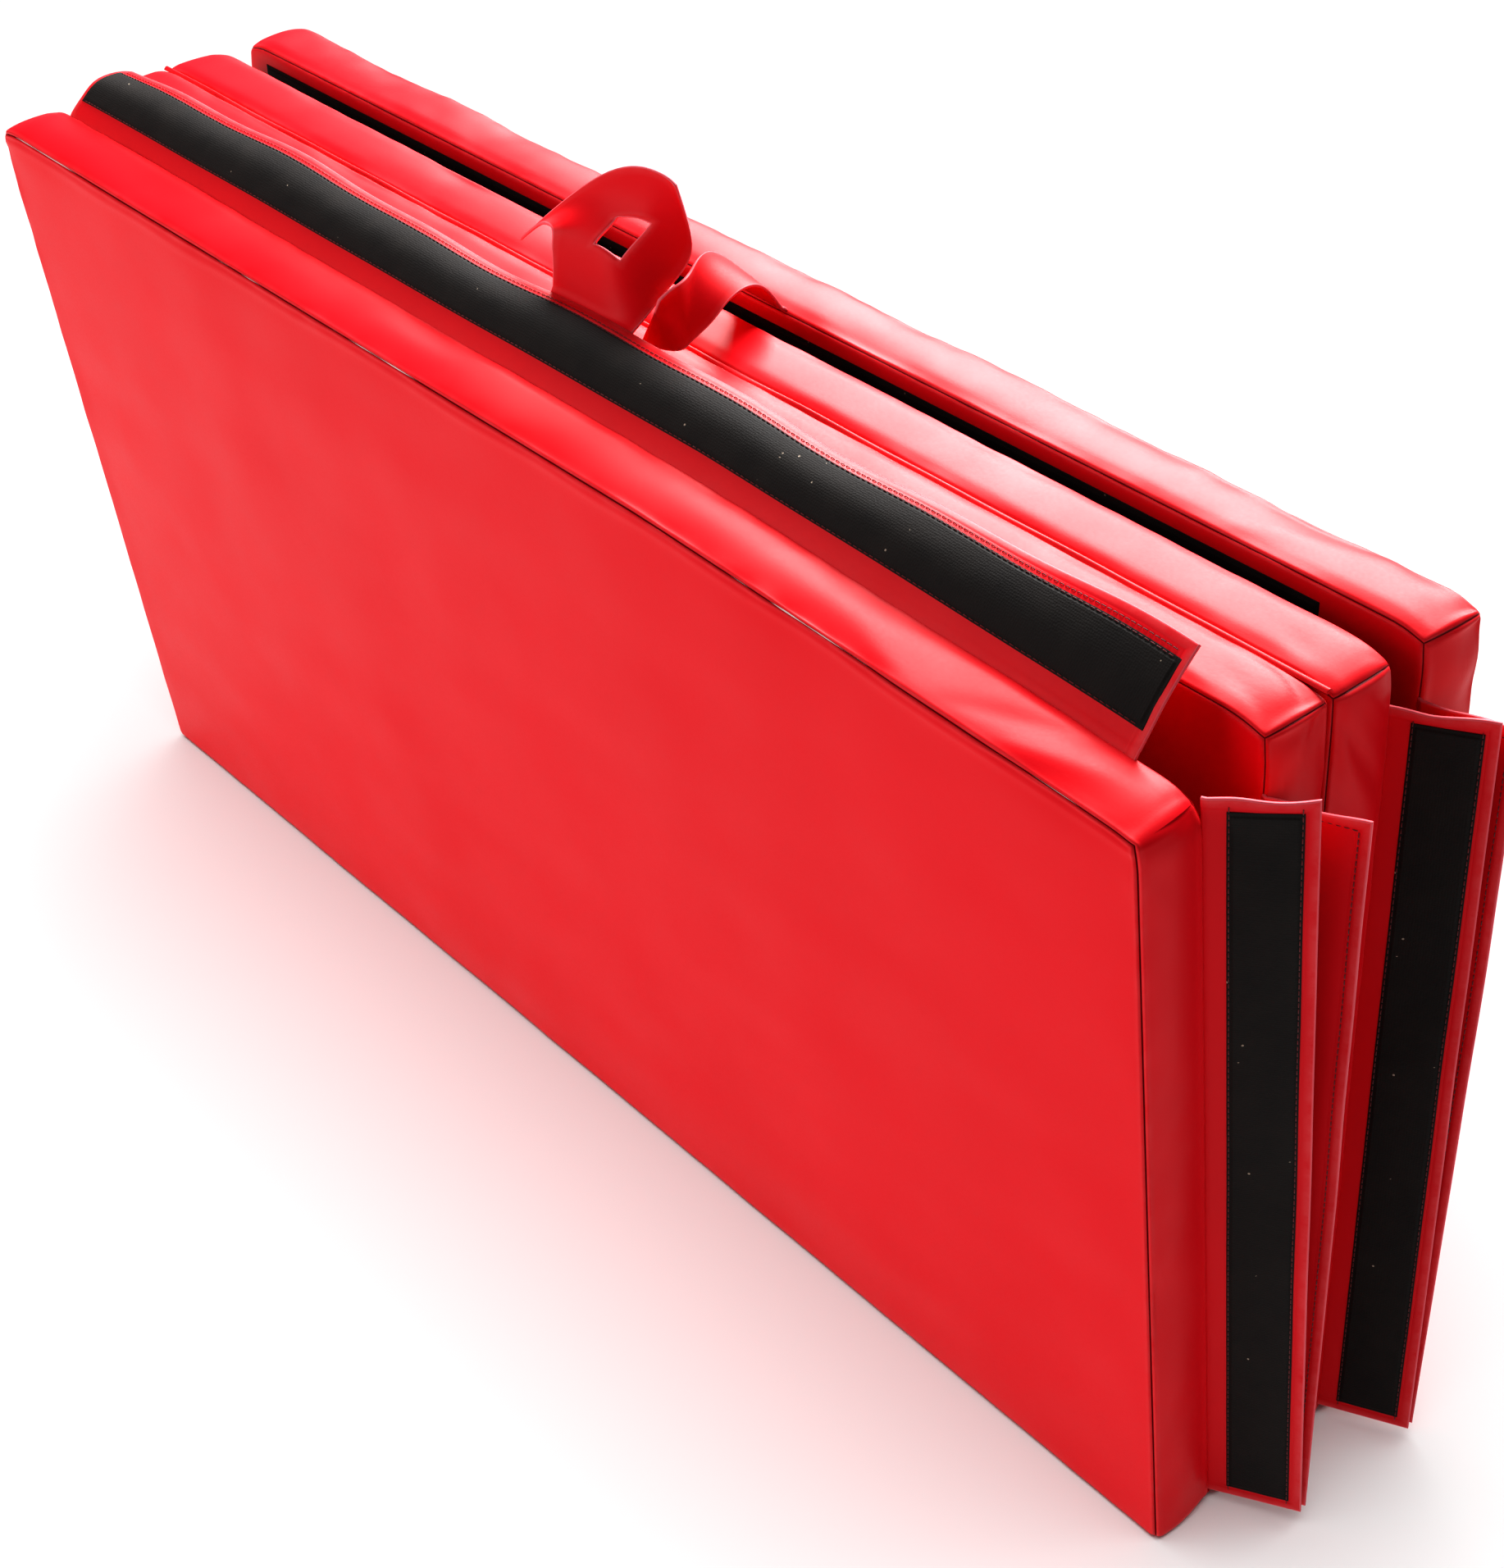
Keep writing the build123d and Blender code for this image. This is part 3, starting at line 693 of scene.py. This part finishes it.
# the thread is darker and lighter in bands along its twist, following the ply bump
twist_banding = node(tree, "Mix", {"Factor": twist.outputs["Fac"], "A": (0.10, 0.004, 0.006, 1),
                         "B": (0.22, 0.01, 0.014, 1)}, data_type="RGBA")
ply = node(tree, "Bump", {"Height": twist.outputs["Fac"], "Distance": 0.0001})
tree.links.new(twist_banding.outputs["Result"], shader.inputs["Base Color"])
tree.links.new(ply.outputs[0], shader.inputs["Normal"])
shader.inputs["Roughness"].default_value = 0.55

TAPE_EDGE = np.array([0, 0.35, 0.9, 1.8, 2.4, 3.0, 4.0]) / 1000
LOOP_THICKNESS = 0.0009
LOOP_LIFT = 0.00015          # between the cover and the underside of a loop strip
STITCH_LENGTH = 0.0034
STITCH_PITCH = 0.0046
THREAD_RADIUS = 0.00032


def tape_lines(start, end, step):
    """Places from start to end, with extra ones across the tape's selvage."""
    count = max(2, round((end - start - 2 * TAPE_EDGE[-1]) / step) + 1)
    inside = np.linspace(start + TAPE_EDGE[-1], end - TAPE_EDGE[-1], count)
    return np.concatenate([start + TAPE_EDGE[:-1], inside, (end - TAPE_EDGE)[::-1][1:]])


def tape_sheet(name, function, a, b, lift, outward, thickness=0.0012):
    """Fastener tape on a surface: a thin sheet with a low flat selvage round a raised pile."""
    surface = grid(function, a, b)
    normals = normals_of(surface) * outward
    edge_a, edge_b = np.minimum(a - a[0], a[-1] - a), np.minimum(b - b[0], b[-1] - b)
    edge = np.minimum(edge_a[:, None], edge_b[None, :])
    pile = np.where(edge > 0.0027, 1.0, np.where(edge > 0.0016, 0.45, 0.55)) * thickness
    pile = pile - 0.00025 * np.exp(-(edge / 0.0004) ** 2)
    pile = pile + 0.00008 * waves(surface, 7, 6, 0.011, 0.03)
    flat = np.stack(np.meshgrid(a, b, indexing="ij"), -1)
    middle = surface + normals * (lift + pile / 2)[..., None]
    return thin_sheet(name, middle, normals, pile, flat, seam=edge)


def stitches(curve, normals):
    """A row of short thread stitches that lie along a curve and dip into the cloth at their ends."""
    run = np.concatenate([[0], np.cumsum(np.linalg.norm(np.diff(curve, axis=0), axis=1))])
    starts = np.arange(0.002, run[-1] - STITCH_LENGTH, STITCH_PITCH)
    share = np.array([0, 0.22, 0.5, 0.78, 1.0])
    where = starts[:, None] + share * STITCH_LENGTH
    line = np.stack([np.interp(where, run, curve[:, k]) for k in range(3)], -1)
    up = np.stack([np.interp(where, run, normals[:, k]) for k in range(3)], -1)
    along = np.gradient(line, axis=1)
    along /= np.linalg.norm(along, axis=-1, keepdims=True)
    sideways = np.cross(along, up)
    line = line + up * (THREAD_RADIUS * np.array([-1.0, 0.5, 0.8, 0.5, -1.0]))[:, None]
    angles = np.arange(5) * 2 * pi / 5
    ring = up[:, :, None] * np.cos(angles)[:, None] + sideways[:, :, None] * np.sin(angles)[:, None]
    points = (line[:, :, None] + THREAD_RADIUS * ring).reshape(-1, 3)
    k = np.arange(5)
    after = (k + 1) % 5
    tube = np.concatenate([np.stack([r * 5 + k, r * 5 + after, r * 5 + 5 + after, r * 5 + 5 + k], -1)
                           for r in range(4)])
    faces = (tube[None] + 25 * np.arange(len(starts))[:, None, None]).reshape(-1, 4)
    return points, faces


def stitch_rows(name, rows_of_thread):
    """One piece from several rows of stitches."""
    points, faces, start = [], [], 0
    for curve, normals in rows_of_thread:
        row_points, row_faces = stitches(curve, normals)
        points.append(row_points)
        faces.append(row_faces + start)
        start += len(row_points)
    obj = new_mesh(name, np.concatenate(points), np.concatenate(faces))
    obj.data.materials.append(thread)
    return obj


def line_on(function, a, b, lift, outward):
    """A curve on a surface, lifted off it, with its normals; either a or b is one number."""
    a, b = np.broadcast_arrays(np.atleast_1d(a).astype(float), np.atleast_1d(b).astype(float))
    here = function(a, b)
    n = np.cross(function(a + 1e-4, b) - here, function(a, b + 1e-4) - here)
    n = n / np.linalg.norm(n, axis=-1, keepdims=True) * outward
    return here + n * lift, n


for number in PANELS:
    fold, side, lean = PANELS[number]
    flap_low, flap_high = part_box(f"side_flap_{number}")
    base = joints[fold]["pos_m"][2] + WEB
    lean_cos = cos(radians(lean))
    z_low, z_high = (flap_low.z - base) / lean_cos, (flap_high.z - base) / lean_cos
    width = SIDE_FLAP_WIDTH
    function = lambda s, z, n=number: side_flap_point(n, s, z)

    s = np.concatenate([np.arange(-3, 3) / 1000, np.linspace(0.003, width - HEM_STEPS[-1], 13),
                        width - HEM_STEPS[::-1][1:]])
    z = hem_lines(z_low, z_high, 0.0075)
    surface = grid(function, s, z)
    # the free edges are cut and folded by hand, so they wander a little
    from_top, from_end = (z_high - z)[None, :], (width - s)[:, None]
    wander = 0.0016 * np.sin(s / 0.0105 + number) * np.clip(s / 0.02, 0, 1)
    surface[..., 2] += wander[:, None] * np.exp(-from_top / 0.02)
    edge = np.minimum(np.minimum(from_end, from_top), (z - z_low)[None, :])
    flat = np.stack(np.meshgrid(s, z + number, indexing="ij"), -1)
    flap = thin_sheet(f"flap_{number}", surface, normals_of(surface), hem_profile(edge), flat, seam=edge)
    flap.data.materials.append(flap_vinyl)
    root = function(np.array(-0.001), np.array((z_low + z_high) / 2))
    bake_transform(flap)
    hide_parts(f"side_flap_{number}")

    outward = -1.0 if side < 0 else 1.0
    facing = outward * (1.0 if normals_of(surface)[5, 5, 1] > 0 else -1.0)
    tape_a = tape_lines(0.010, 0.050, 0.004)
    tape_b = tape_lines(z_low + HEM, z_high - HEM, 0.0075)
    hook = tape_sheet(f"hook_strip_{number}", function, tape_a, tape_b, FLAP_THICKNESS / 2, facing)
    hook.data.materials.append(hook_tape)
    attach(hook, f"side_flap_{number}_body")
    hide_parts(f"side_hook_{number}")
    run = np.linspace(z_low + 0.003, z_high - 0.003, 120)
    rows_of_thread = [line_on(function, s_at, run, lift, facing * face) for s_at, lift, face in (
        (0.0112, 0.0013, 1), (0.0488, 0.0013, 1), (0.0515, 0.0010, -1), (0.0095, 0.00065, -1),
        (0.0112, 0.00065, -1))]
    along_top = np.linspace(0.004, width - 0.003, 20)
    rows_of_thread.append(line_on(function, along_top, z_high - 0.0064, 0.0007, -facing))
    thread_rows = stitch_rows(f"flap_{number}_stitching", rows_of_thread)
    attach(thread_rows, f"side_flap_{number}_body")

    # the loop strip on the A side of the panel's other end
    loop_low, loop_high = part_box(f"side_loop_{number}")
    x0, x1 = loop_low.x - PANEL_MIDDLE_X, loop_high.x - PANEL_MIDDLE_X
    h0, h1 = (loop_low.z - base) / lean_cos, (loop_high.z - base) / lean_cos
    on_face = lambda x, z, n=number: to_panel_frame(np.stack([x, 0 * x, z], -1), n)
    loop = tape_sheet(f"loop_strip_{number}", on_face, tape_lines(x0, x1, 0.004),
                      tape_lines(h0, h1, 0.0075), LOOP_LIFT, -side * normal_side(on_face), LOOP_THICKNESS)
    loop.data.materials.append(loop_tape)
    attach(loop, f"panel_{number}")
    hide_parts(f"side_loop_{number}")

# ---- end flap with its hook tape, and the loop strip on panel 4 ----
# Doubled vinyl along panel 1's top back seam, standing back over the gap behind the panel; its
# upper face carries hook tape. The mating loop strip is sewn along the top of panel 4's A side.

flap_low, flap_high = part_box("end_flap")
bend = np.array(joints["end_flap_hinge"]["pos_m"])
# the end flap's middle line, across it from its root, as Y and Z from its bend line
FLAP_LINE = np.array([(-0.0035, -0.0050), (0, 0), (0.0105, 0.0118), (0.0225, 0.0225), (0.0360, 0.0262),
                      (0.0460, 0.0262), (0.0540, 0.0245)])
flap_run = np.concatenate([[0], np.cumsum(np.linalg.norm(np.diff(FLAP_LINE, axis=0), axis=1))])
flap_run = flap_run - flap_run[1]
END_WIDTH = flap_run[-1]


def end_flap_point(x, s):
    """A point on the middle of the end flap: x in the row frame, s across it from its bend line."""
    across = spline(flap_run, FLAP_LINE, s.ravel()).reshape(*s.shape, 2)
    end = np.clip(1 - (flap_high.x - x) / 0.33, 0, 1) ** 2
    far = np.clip(s / END_WIDTH, 0, 1)
    straight = far[..., None] * FLAP_LINE[-1]
    across = across + (straight - across) * (0.75 * end * np.clip(s / 0.004, 0, 1))[..., None]
    lift = 0.011 * end * far ** 1.2
    sway = 0.0016 * np.sin(2 * pi * x / 0.41 + 0.6) + 0.0009 * np.sin(2 * pi * x / 0.17 + 2.0)
    left = np.clip(1 - (x - flap_low.x) / 0.10, 0, 1) ** 2
    y = bend[1] + across[..., 0] - 0.010 * end * far + 0.6 * sway * far + 0.004 * left * far
    z = bend[2] + across[..., 1] + lift + sway * far ** 1.5 - 0.007 * left * far
    # the root follows the panel's sunken corner
    drop, reach, power = CORNER_DROP[1][0]
    near_end = np.clip(1 - (PANEL_MIDDLE_X + PANEL_LENGTH / 2 - x) / reach, 0, 1)
    return np.stack([x, y, z - drop * near_end ** power * (1 - 0.8 * far)], -1)


x_lines = hem_lines(flap_low.x, flap_high.x, 0.0075)
s_lines = np.concatenate([np.linspace(flap_run[0], 0.012, 10),
                          np.linspace(0.016, END_WIDTH - HEM_STEPS[-1], 9), END_WIDTH - HEM_STEPS[::-1][1:]])
surface = grid(end_flap_point, x_lines, s_lines)
normals = normals_of(surface)
upward = 1.0 if normals[40, 12, 2] > 0 else -1.0
ends = np.minimum(x_lines - x_lines[0], x_lines[-1] - x_lines)[:, None]
edge = np.minimum(ends, (END_WIDTH - s_lines)[None, :])
flat = np.stack(np.meshgrid(x_lines, s_lines, indexing="ij"), -1)
end_flap = thin_sheet("top_flap", surface, normals, hem_profile(edge), flat, seam=edge)
end_flap.data.materials.append(flap_vinyl)
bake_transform(end_flap)
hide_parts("end_flap")

hook_low, hook_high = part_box("end_hook")
end_hook = tape_sheet("top_hook_strip", end_flap_point, tape_lines(hook_low.x, hook_high.x, 0.0075),
                      tape_lines(0.0125, 0.0525, 0.004), FLAP_THICKNESS / 2, upward)
end_hook.data.materials.append(hook_tape)
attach(end_hook, "end_flap_body")
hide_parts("end_hook")
run = np.linspace(hook_low.x + 0.003, hook_high.x - 0.003, 260)
end_thread = stitch_rows("top_flap_stitching", [
    line_on(end_flap_point, run, s_at, lift, upward * face) for s_at, lift, face in (
        (0.0137, 0.0013, 1), (0.0513, 0.0013, 1), (0.0555, 0.0010, 1), (0.0137, 0.0007, -1),
        (0.0513, 0.0007, -1))])
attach(end_thread, "end_flap_body")

loop_low, loop_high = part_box("end_loop")
lean_cos = cos(radians(PANELS[4][2]))
base = joints["fold_34"]["pos_m"][2] + WEB
on_face = lambda x, z: to_panel_frame(np.stack([x, 0 * x, z], -1), 4)
x0, x1 = loop_low.x - PANEL_MIDDLE_X, loop_high.x - PANEL_MIDDLE_X
h0, h1 = (loop_low.z - base) / lean_cos, (loop_high.z - base) / lean_cos
end_loop = tape_sheet("top_loop_strip", on_face, tape_lines(x0, x1, 0.0075), tape_lines(h0, h1, 0.004),
                      LOOP_LIFT, -normal_side(on_face), LOOP_THICKNESS)
end_loop.data.materials.append(loop_tape)
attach(end_loop, "panel_4")
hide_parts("end_loop")

# ---- slotted strap ----
# A wide band of doubled vinyl, sewn under the end flap's hem, with a slot for the other strap.
# Its free end has curled: the left corner has fallen back, and the right edge leans away.

# pale painted highlight along the straps' rims and the slot's edges
strap_vinyl = vinyl("strap_vinyl", (0.76, 0.003, 0.009), roughness=0.46, emboss=0.00003,
                    seam_width=0.0010, painted_edge_colour=(0.88, 0.14, 0.17), rub=0.3)
BAND_THICKNESS = 0.0018
BAND_WIDTH, BAND_LENGTH = 0.085, 0.105
# the slot's sides and ends, as shares of the band's width and length
SLOT_LEFT, SLOT_RIGHT = 0.36, 0.64
SLOT_LOW, SLOT_HIGH = 0.4, 0.66
band_bend = np.array(joints["slotted_strap_bend"]["pos_m"])
ACROSS = [0.0, SLOT_LEFT, SLOT_RIGHT, 1.0]
UP = [0.0, 0.2, SLOT_LOW, SLOT_HIGH, 0.84, 1.0]
# from the bend line's middle, in mm: four lines up the strap, left edge, slot's sides, right edge
BAND = np.array([
    [(-42.5, 0, 0), (-43.8, 3, 16), (-47, 6, 29), (-53, 10, 38), (-78, 17, 29), (-116, 27, 2)],
    [(-14.6, 0, 0), (-12.5, 6, 21), (-8.8, 13, 40), (-1.5, 27, 56), (-4.1, 34, 69), (-18, 36, 80)],
    [(14.2, 0, 0), (14.5, 7, 19), (15, 15, 36), (24.5, 34, 58), (28, 40, 75), (24, 41, 92)],
    [(42.5, 0, 0), (41.6, 17, 9), (41, 31, 18), (44.7, 48, 36), (44, 50, 56), (41.8, 43, 87)],
]) / 1000

band_a = np.unique(np.concatenate([
    [0, 0.008, 0.02], np.linspace(0.04, SLOT_LEFT, 9), np.linspace(SLOT_LEFT, SLOT_RIGHT, 9),
    np.linspace(SLOT_RIGHT, 0.96, 9), [0.98, 0.992, 1]]))
band_s = np.unique(np.concatenate([
    np.linspace(0, SLOT_LOW, 14), np.linspace(SLOT_LOW, SLOT_HIGH, 9), np.linspace(SLOT_HIGH, 0.96, 10),
    [0.98, 0.992, 1]]))
by_row = spline(ACROSS, BAND, band_a)
standing = spline(UP, by_row.transpose(1, 0, 2), band_s).transpose(1, 0, 2) + band_bend

# the root lies under the end flap, from its bend to its hem
root_s = np.linspace(0.004, END_WIDTH - 0.001, 16)
root_x = band_bend[0] + BAND[0, 0, 0] + band_a * (BAND[3, 0, 0] - BAND[0, 0, 0])
root = grid(end_flap_point, root_x, root_s)
root -= normals_of(root) * upward * 0.0019
band_surface = np.concatenate([root, standing[:, 1:]], 1)
band_flat_s = np.concatenate([root_s - END_WIDTH, band_s[1:] * BAND_LENGTH])
rows, columns = band_surface.shape[:2]
edge = np.minimum(band_a, 1 - band_a)[:, None] * BAND_WIDTH
edge = np.minimum(edge, (band_flat_s[-1] - band_flat_s)[None, :])
in_slot_a = (band_a[:-1] >= SLOT_LEFT - 1e-6) & (band_a[1:] <= SLOT_RIGHT + 1e-6)
slot_s = band_flat_s / BAND_LENGTH
in_slot_s = (slot_s[:-1] >= SLOT_LOW - 1e-6) & (slot_s[1:] <= SLOT_HIGH + 1e-6)
beside_slot = np.maximum(SLOT_LEFT - band_a, band_a - SLOT_RIGHT)[:, None] * BAND_WIDTH
beyond_slot = np.maximum(SLOT_LOW - slot_s, slot_s - SLOT_HIGH)[None, :] * BAND_LENGTH
edge = np.minimum(edge, np.maximum(np.maximum(beside_slot, beyond_slot), 0))
half = normals_of(band_surface) * BAND_THICKNESS / 2
points = np.concatenate([(band_surface + half).reshape(-1, 3), (band_surface - half).reshape(-1, 3)])
count = rows * columns
kept = ~(in_slot_a[:, None] & in_slot_s[None, :])
upper = grid_quads(rows, columns).reshape(rows - 1, columns - 1, 4)[kept]
lower = grid_quads(rows, columns, count, turned=True).reshape(rows - 1, columns - 1, 4)[kept]
# a side that only one quad uses lies on the outline or on the slot, and gets a rim face
sides = {}
for quad in upper:
    for k in range(4):
        one, two = int(quad[k]), int(quad[(k + 1) % 4])
        if (two, one) in sides:
            del sides[(two, one)]
        else:
            sides[(one, two)] = True
rim = np.array([(two, one, one + count, two + count) for one, two in sides])
flat = np.stack(np.meshgrid(band_a * BAND_WIDTH, band_flat_s, indexing="ij"), -1).reshape(-1, 2)
band = new_mesh("slotted_band", points, np.concatenate([upper, lower, rim]), np.concatenate([flat, flat]),
                seam=np.concatenate([edge.ravel()] * 2))
loose = bmesh.new()
loose.from_mesh(band.data)
bmesh.ops.delete(loose, geom=[v for v in loose.verts if not v.link_faces], context="VERTS")
loose.to_mesh(band.data)
loose.free()
band.data.materials.append(strap_vinyl)
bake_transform(band)
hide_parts("slotted_strap_root", "slotted_strap")

# ---- plain strap ----
# A narrow band of doubled vinyl, sewn to panel 4's top front edge. It arches forward over the
# next two panels, twists half way, and its end rests behind the slotted strap.

STRAP_THICKNESS = 0.0022
STRAP_WIDTH = 0.0435
CUT_WIDTH = 0.045            # the strap's width as cut, before it curls a little across
strap_bend = np.array(joints["plain_strap_bend"]["pos_m"])
PLACES = [0, 0.15, 0.3, 0.45, 0.6, 0.75, 0.9, 1.0]
# its middle line from the bend line, in mm, and the direction across it from its left edge
MIDDLE = np.array([(3, 0, 0), (9, -16, 23), (15, -34, 35), (21, -51, 39), (27, -67, 37), (30, -82, 31),
                   (27, -93, 27), (13, -101, 23)])
ACROSS_STRAP = np.array([(1, -0.05, 0), (0.97, -0.2, 0.05), (0.93, -0.3, -0.1), (0.8, -0.35, -0.4),
                         (0.6, -0.3, -0.72), (0.36, -0.32, -0.86), (0.0, -0.1, -1), (-0.5, 0.0, -0.86)])
strap_t = np.linspace(0, 1, 64)
middle = spline(PLACES, MIDDLE / 1000, strap_t)
across = spline(PLACES, ACROSS_STRAP, strap_t)
across /= np.linalg.norm(across, axis=-1, keepdims=True)
strap_w = np.array([0, 0.01, 0.03, 0.07, 0.13, 0.2, 0.3, 0.4, 0.5, 0.6, 0.7, 0.8, 0.87, 0.93, 0.97, 0.99, 1])
surface = middle[None] + STRAP_WIDTH * (strap_w - 0.5)[:, None, None] * across[None] + strap_bend
surface[..., 2] += 0.0030 * (np.sin(pi * strap_w)[:, None] * np.sin(pi * strap_t) ** 2)
# the root is sewn down into the seam
root = np.stack([np.broadcast_to(surface[:, 0, 0][:, None], (len(strap_w), 3)),
                 surface[:, 0, 1][:, None] + np.array([0.0042, 0.0032, 0.0016]),
                 surface[:, 0, 2][:, None] - np.array([0.0034, 0.0016, 0.0004])], -1)
surface = np.concatenate([root, surface], 1)
length = np.concatenate([[0], np.cumsum(np.linalg.norm(np.diff(surface[8], axis=0), axis=1))])
edge = np.minimum(np.minimum(strap_w, 1 - strap_w)[:, None] * CUT_WIDTH, (length[-1] - length)[None, :])
flat = np.stack(np.meshgrid(strap_w * CUT_WIDTH, length, indexing="ij"), -1)
thickness = STRAP_THICKNESS * np.ones(edge.shape)
strap = thin_sheet("plain_band", surface, normals_of(surface), thickness, flat, seam=edge)
strap.data.materials.append(strap_vinyl)
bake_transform(strap)
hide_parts("plain_strap")

# ---- studio ----
# A plain pale floor, one large soft light high behind the mat that whitens the tops, and weak
# fill from the front. The camera stands at the front right, looking down.

FLOOR_REACH, FLOOR_LEVEL = 9.0, -0.0012
corners = np.array([(0, 0), (1, 0), (1, 1), (0, 1.0)])
floor_points = np.column_stack([(2 * corners - 1) * FLOOR_REACH, np.full(4, FLOOR_LEVEL)])
floor = new_mesh("floor", floor_points, np.array([(0, 1, 2, 3)]), corners, smooth=False)
paper = bpy.data.materials.new("paper")
paper.use_nodes = True
paper.node_tree.nodes["Principled BSDF"].inputs["Base Color"].default_value = (0.82, 0.82, 0.82, 1)
paper.node_tree.nodes["Principled BSDF"].inputs["Roughness"].default_value = 0.9
floor.data.materials.append(paper)
floor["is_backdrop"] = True

# the two faces deep in the folds that face backwards get no overhead light, so the folds stay dark
mat_pieces = bpy.data.collections.new("mat_pieces")
open_to_overhead = bpy.data.collections.new("open_to_overhead")
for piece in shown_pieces():
    mat_pieces.objects.link(piece)
    if piece.name not in ("underside_cover_1", "underside_cover_3"):
        open_to_overhead.objects.link(piece)
ground = bpy.data.collections.new("ground")
ground.objects.link(floor)


def soft_light(name, place, aim, size, power, only):
    """A square soft light that falls only on the objects of one collection."""
    lamp = bpy.data.lights.new(name, "AREA")
    lamp.shape = "SQUARE"
    lamp.size = size
    lamp.energy = power
    obj = bpy.data.objects.new(name, lamp)
    obj.location = place
    obj.rotation_euler = (Vector(aim) - Vector(place)).to_track_quat("-Z", "Y").to_euler()
    bpy.context.scene.collection.objects.link(obj)
    obj.light_linking.receiver_collection = only


soft_light("overhead", (-1.5, 2.7, 2.8), (0.1, 0, 0.5), 2.8, 610, open_to_overhead)
soft_light("front_fill", (-2.2, -3.4, 1.9), (0, 0, 0.3), 2.4, 88, mat_pieces)
soft_light("floor_wash", (0, 0, 5.0), (0, 0, 0), 6.0, 420, ground)

world = bpy.data.worlds.new("studio")
world.use_nodes = True
world.node_tree.nodes["Background"].inputs["Color"].default_value = (1, 1, 1, 1)
world.node_tree.nodes["Background"].inputs["Strength"].default_value = 0.17
bpy.context.scene.world = world
bpy.context.scene.view_settings.view_transform = "Standard"
bpy.context.scene.view_settings.look = "Medium High Contrast"

lens = bpy.data.cameras.new("camera")
lens.lens = 64.888
lens.sensor_width = 36
lens.clip_start, lens.clip_end = 0.05, 60
camera = bpy.data.objects.new("camera", lens)
camera.location = (1.3572535, -0.9762820, 1.4694234)
camera.rotation_euler = (radians(53.475516), radians(2.801431), radians(50.286882))
bpy.context.scene.collection.objects.link(camera)
bpy.context.scene.camera = camera

bpy.context.view_layer.update()
